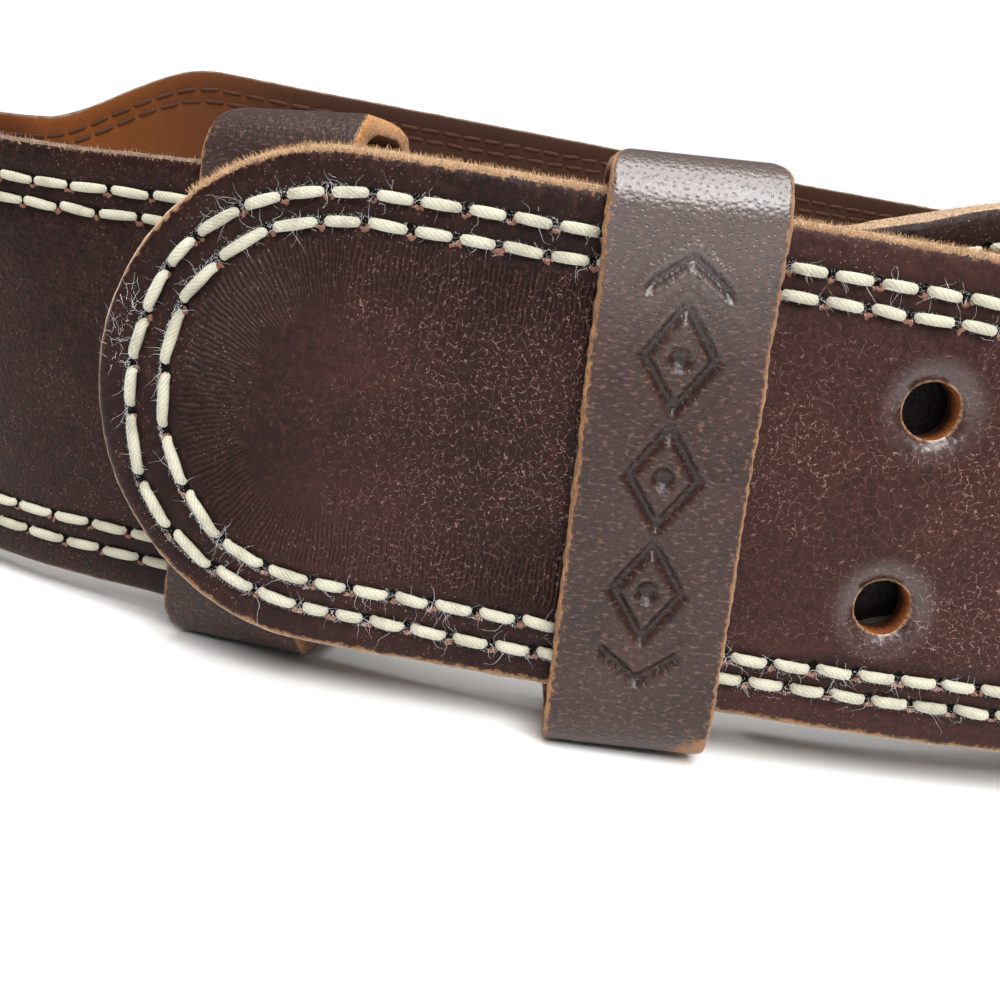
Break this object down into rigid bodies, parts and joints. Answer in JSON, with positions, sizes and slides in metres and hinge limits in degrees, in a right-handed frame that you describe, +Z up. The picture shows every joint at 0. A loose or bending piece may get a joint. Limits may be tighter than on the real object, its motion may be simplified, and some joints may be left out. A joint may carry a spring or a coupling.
{
  "type": "weightlifting belt",
  "caption": "Thick leather lifting belt, wide across the back, fastened with a double-pronged buckle and leather keepers, standing on its edge as a closed loop.",
  "frame": {"origin": "middle of the footprint, on the surface that the belt stands on", "axes": "+Z up, the narrow front with the tip faces -Y, the tip points to -X, the wide back is at +Y"},
  "size_m": [0.4062, 0.3118, 0.102],
  "materials": {
    "strap_leather": "satin",
    "keeper_leather": "satin",
    "buckle_metal": "satin"
  },
  "bodies": {
    "root": {"strap": "strap_leather", "keeper_front": "keeper_leather", "keeper_rear": "keeper_leather", "buckle": "buckle_metal"}
  },
  "joints": []
}
